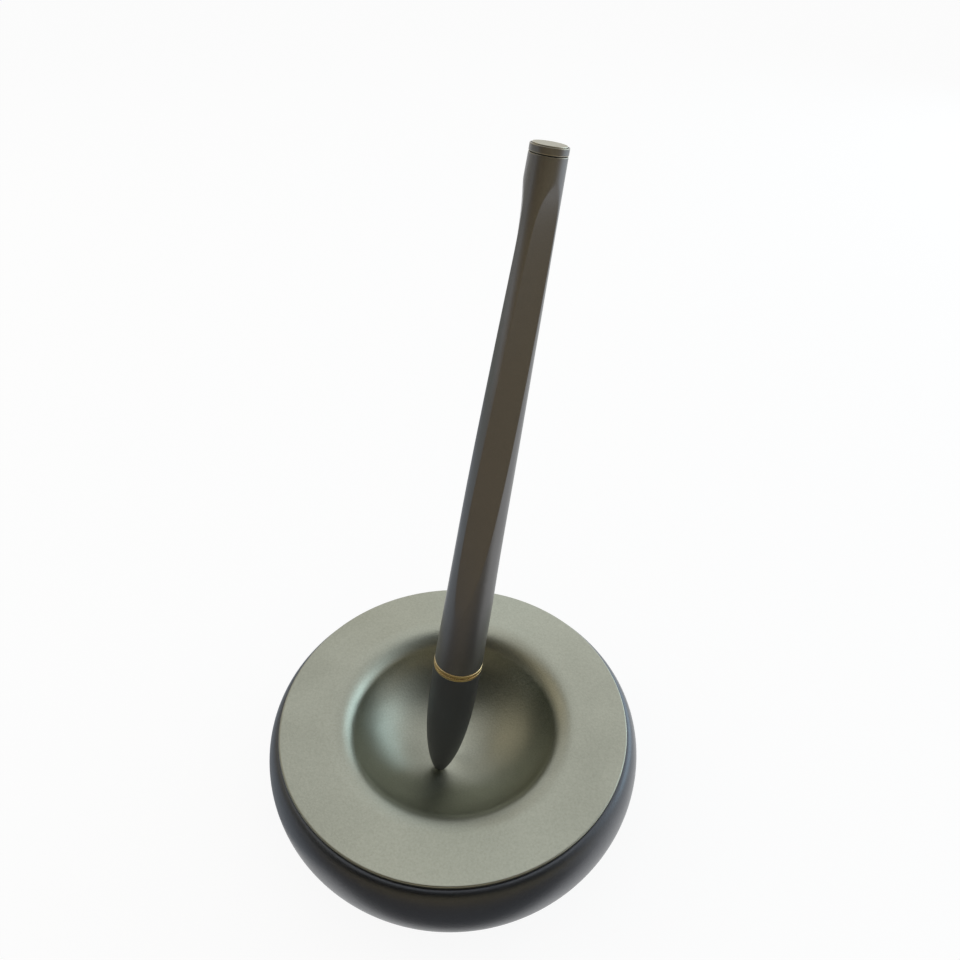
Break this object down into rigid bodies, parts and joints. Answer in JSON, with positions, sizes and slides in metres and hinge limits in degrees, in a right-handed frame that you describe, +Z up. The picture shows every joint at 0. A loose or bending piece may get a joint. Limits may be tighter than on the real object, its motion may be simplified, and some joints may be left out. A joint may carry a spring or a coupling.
{
  "type": "pen stand",
  "caption": "Round weighted stand with a smooth dish that holds a leaning capped pen by magnet; the pen tilts, turns, lifts off and draws out of its cap.",
  "frame": {"origin": "centre of the foot, on the surface that the stand rests on", "axes": "+Z up along the stand's axis; the picture looks along +Y from above, with +X to the right"},
  "size_m": [0.0876, 0.0876, 0.153],
  "materials": {
    "satin_olive": "bead-blasted satin, olive grey",
    "shell_grey": "bead-blasted satin, dark grey",
    "steel": "machined",
    "nickel": "nickel plate",
    "cover_black": "fine texture",
    "foot_rubber": "matte silicone",
    "ball_steel": "polished",
    "cap_black": "black anodised satin",
    "liner_white": "moulded",
    "gold": "polished",
    "section_black": "moulded satin",
    "gunmetal": "anodised satin gunmetal",
    "pale_end": "bare satin",
    "refill_clear": "translucent tube",
    "point_metal": "nickel silver",
    "plug_grey": "moulded",
    "bumper_rubber": "moulded"
  },
  "bodies": {
    "stand": {"dish_plate": "satin_olive", "outer_shell": "shell_grey", "ballast_ring": "steel", "plate_screws": "steel", "magnet_cup": "nickel", "bottom_cover": "cover_black", "cover_screws": "steel", "foot_pad": "foot_rubber"},
    "base_magnet": {"base_magnet": "nickel"},
    "tip_ball": {"tip_ball": "ball_steel"},
    "tip_magnet": {"tip_magnet": "nickel"},
    "cap": {"cap": "cap_black", "cap_liner": "liner_white", "trim_ring": "gold"},
    "writing_section": {"writing_section": "section_black"},
    "refill": {"refill_tube": "refill_clear", "refill_point": "point_metal", "refill_plug": "plug_grey"},
    "barrel": {"barrel": "gunmetal", "thread_bush": "gold", "end_plug": "gunmetal", "end_disc": "pale_end", "refill_bumper": "bumper_rubber"}
  },
  "joints": [
    {"name": "pen_around", "type": "hinge", "parent": "stand", "child": "base_magnet", "pos_m": [0, 0, 0.004], "axis": [0, 0, 1], "continuous": true},
    {"name": "pen_lift", "type": "slide", "parent": "base_magnet", "child": "tip_ball", "axis": [0.1388, 0.1194, 0.9831], "range_m": [0, 0.06]},
    {"name": "pen_tilt", "type": "hinge", "parent": "tip_ball", "child": "tip_magnet", "pos_m": [-0.00349, -0.003, 0.01128], "axis": [-0.6521, 0.7581, 0], "range_deg": [-35, 25]},
    {"name": "pen_spin", "type": "hinge", "parent": "tip_magnet", "child": "cap", "pos_m": [-0.00349, -0.003, 0.01128], "axis": [0.1388, 0.1194, 0.9831], "continuous": true},
    {"name": "pen_draw", "type": "slide", "parent": "cap", "child": "writing_section", "axis": [0.1388, 0.1194, 0.9831], "range_m": [0, 0.04]},
    {"name": "barrel_turn", "type": "hinge", "parent": "writing_section", "child": "refill", "pos_m": [-0.00349, -0.003, 0.01128], "axis": [0.1388, 0.1194, 0.9831], "range_deg": [0, 1440]},
    {"name": "barrel_rise", "type": "slide", "parent": "refill", "child": "barrel", "axis": [0.1388, 0.1194, 0.9831], "range_m": [0, 0.01]}
  ],
  "couplings": [
    {"joint": "barrel_turn", "follows": "barrel_rise", "rad_per_m": 2513.3}
  ]
}
